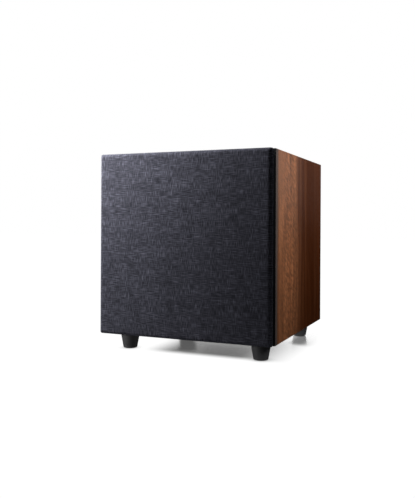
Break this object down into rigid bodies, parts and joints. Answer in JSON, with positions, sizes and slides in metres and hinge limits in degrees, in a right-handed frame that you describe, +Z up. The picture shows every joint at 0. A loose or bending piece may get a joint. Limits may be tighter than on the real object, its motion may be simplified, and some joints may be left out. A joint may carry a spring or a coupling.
{
  "type": "powered subwoofer",
  "caption": "Cube-shaped powered subwoofer: veneered box on tapered feet, cloth grille on pegs, cone woofer behind it, down-firing port and a plate amplifier at the back.",
  "frame": {"origin": "on the floor, under the centre of the cabinet, which is also the bottom centre of the bounding box", "axes": "+Z up, -Y out of the grille towards the listener, +X to the right of someone looking at the grille"},
  "size_m": [0.35, 0.3876, 0.383],
  "materials": {
    "walnut_wrap": "satin",
    "baffle_paint": "satin",
    "raw_board": "matte",
    "dark_vinyl": "matte",
    "fibre": "matte",
    "moulded_black": "satin",
    "black_rubber": "matte",
    "zinc_steel": "satin",
    "black_steel": "satin",
    "cone_black": "satin",
    "spider_cloth": "matte",
    "aluminium": "satin",
    "copper": "gloss",
    "ferrite": "matte",
    "terminal_board": "matte",
    "anodised": "satin",
    "circuit_board": "gloss",
    "brass": "satin",
    "epoxy_case": "matte",
    "capacitor_sleeve": "gloss",
    "transformer_tape": "gloss",
    "glass": "gloss",
    "rocker_gloss": "gloss",
    "pot_steel": "satin",
    "knob_plastic": "satin",
    "led": "gloss",
    "cable_sleeve": "gloss",
    "grille_board": "matte",
    "grille_cloth": "matte"
  },
  "bodies": {
    "cabinet": {"left_side_panel": "walnut_wrap", "right_side_panel": "walnut_wrap", "top_panel": "walnut_wrap", "front_baffle": "baffle_paint", "inner_baffle": "raw_board", "window_brace": "raw_board", "rear_panel": "dark_vinyl", "bottom_panel": "dark_vinyl", "damping_lining": "fibre", "port_tube": "moulded_black", "feet": "moulded_black", "mains_inlet": "moulded_black", "power_switch_housing": "moulded_black", "foot_pads": "black_rubber", "grille_sockets": "black_rubber", "woofer_gasket": "black_rubber", "amp_gasket": "black_rubber", "foot_screws": "zinc_steel", "top_plate": "zinc_steel", "pole_yoke": "zinc_steel", "transformer_clamp": "zinc_steel", "inlet_pins": "zinc_steel", "woofer_basket": "black_steel", "woofer_screws": "black_steel", "amp_screws": "black_steel", "amp_plate": "black_steel", "magnet": "ferrite", "woofer_terminals": "terminal_board", "heatsink": "anodised", "amp_board": "circuit_board", "board_standoffs": "brass", "rca_jacks": "brass", "output_transistors": "epoxy_case", "phase_switch": "epoxy_case", "mode_switch": "epoxy_case", "filter_capacitors": "capacitor_sleeve", "power_transformer": "transformer_tape", "volume_pot": "pot_steel", "crossover_pot": "pot_steel", "led_lens": "led", "internal_wiring": "cable_sleeve"},
    "grille": {"grille_frame": "grille_board", "grille_cloth": "grille_cloth", "grille_pegs": "moulded_black"},
    "cone_assembly": {"cone": "cone_black", "dust_cap": "cone_black", "surround": "black_rubber", "spider": "spider_cloth", "voice_coil_former": "aluminium", "voice_coil_winding": "copper", "tinsel_leads": "copper"},
    "volume_control": {"volume_shaft": "aluminium", "volume_knob": "knob_plastic"},
    "crossover_control": {"crossover_shaft": "aluminium", "crossover_knob": "knob_plastic"},
    "phase_selector": {"phase_slider": "knob_plastic"},
    "mode_selector": {"mode_slider": "knob_plastic"},
    "power_switch": {"power_rocker": "rocker_gloss"},
    "fuse_carrier": {"fuse_drawer": "moulded_black", "fuse": "glass"}
  },
  "joints": [
    {"name": "grille_pull", "type": "slide", "parent": "cabinet", "child": "grille", "axis": [0, -1, 0], "range_m": [0, 0.16]},
    {"name": "cone_stroke", "type": "slide", "parent": "cabinet", "child": "cone_assembly", "axis": [0, -1, 0], "range_m": [-0.006, 0.006], "stiffness_N_per_m": 1200, "deforming": ["surround", "spider", "tinsel_leads"]},
    {"name": "volume_turn", "type": "hinge", "parent": "cabinet", "child": "volume_control", "pos_m": [-0.002, 0.178, 0.312], "axis": [0, 1, 0], "range_deg": [-150, 150]},
    {"name": "crossover_turn", "type": "hinge", "parent": "cabinet", "child": "crossover_control", "pos_m": [-0.056, 0.178, 0.312], "axis": [0, 1, 0], "range_deg": [-150, 150]},
    {"name": "phase_slide", "type": "slide", "parent": "cabinet", "child": "phase_selector", "axis": [1, 0, 0], "range_m": [0, 0.004]},
    {"name": "mode_slide", "type": "slide", "parent": "cabinet", "child": "mode_selector", "axis": [1, 0, 0], "range_m": [-0.003, 0.003]},
    {"name": "power_rock", "type": "hinge", "parent": "cabinet", "child": "power_switch", "pos_m": [-0.056, 0.177, 0.128], "axis": [1, 0, 0], "range_deg": [0, 18]},
    {"name": "fuse_drawer_pull", "type": "slide", "parent": "cabinet", "child": "fuse_carrier", "axis": [0, 1, 0], "range_m": [0, 0.018]}
  ]
}
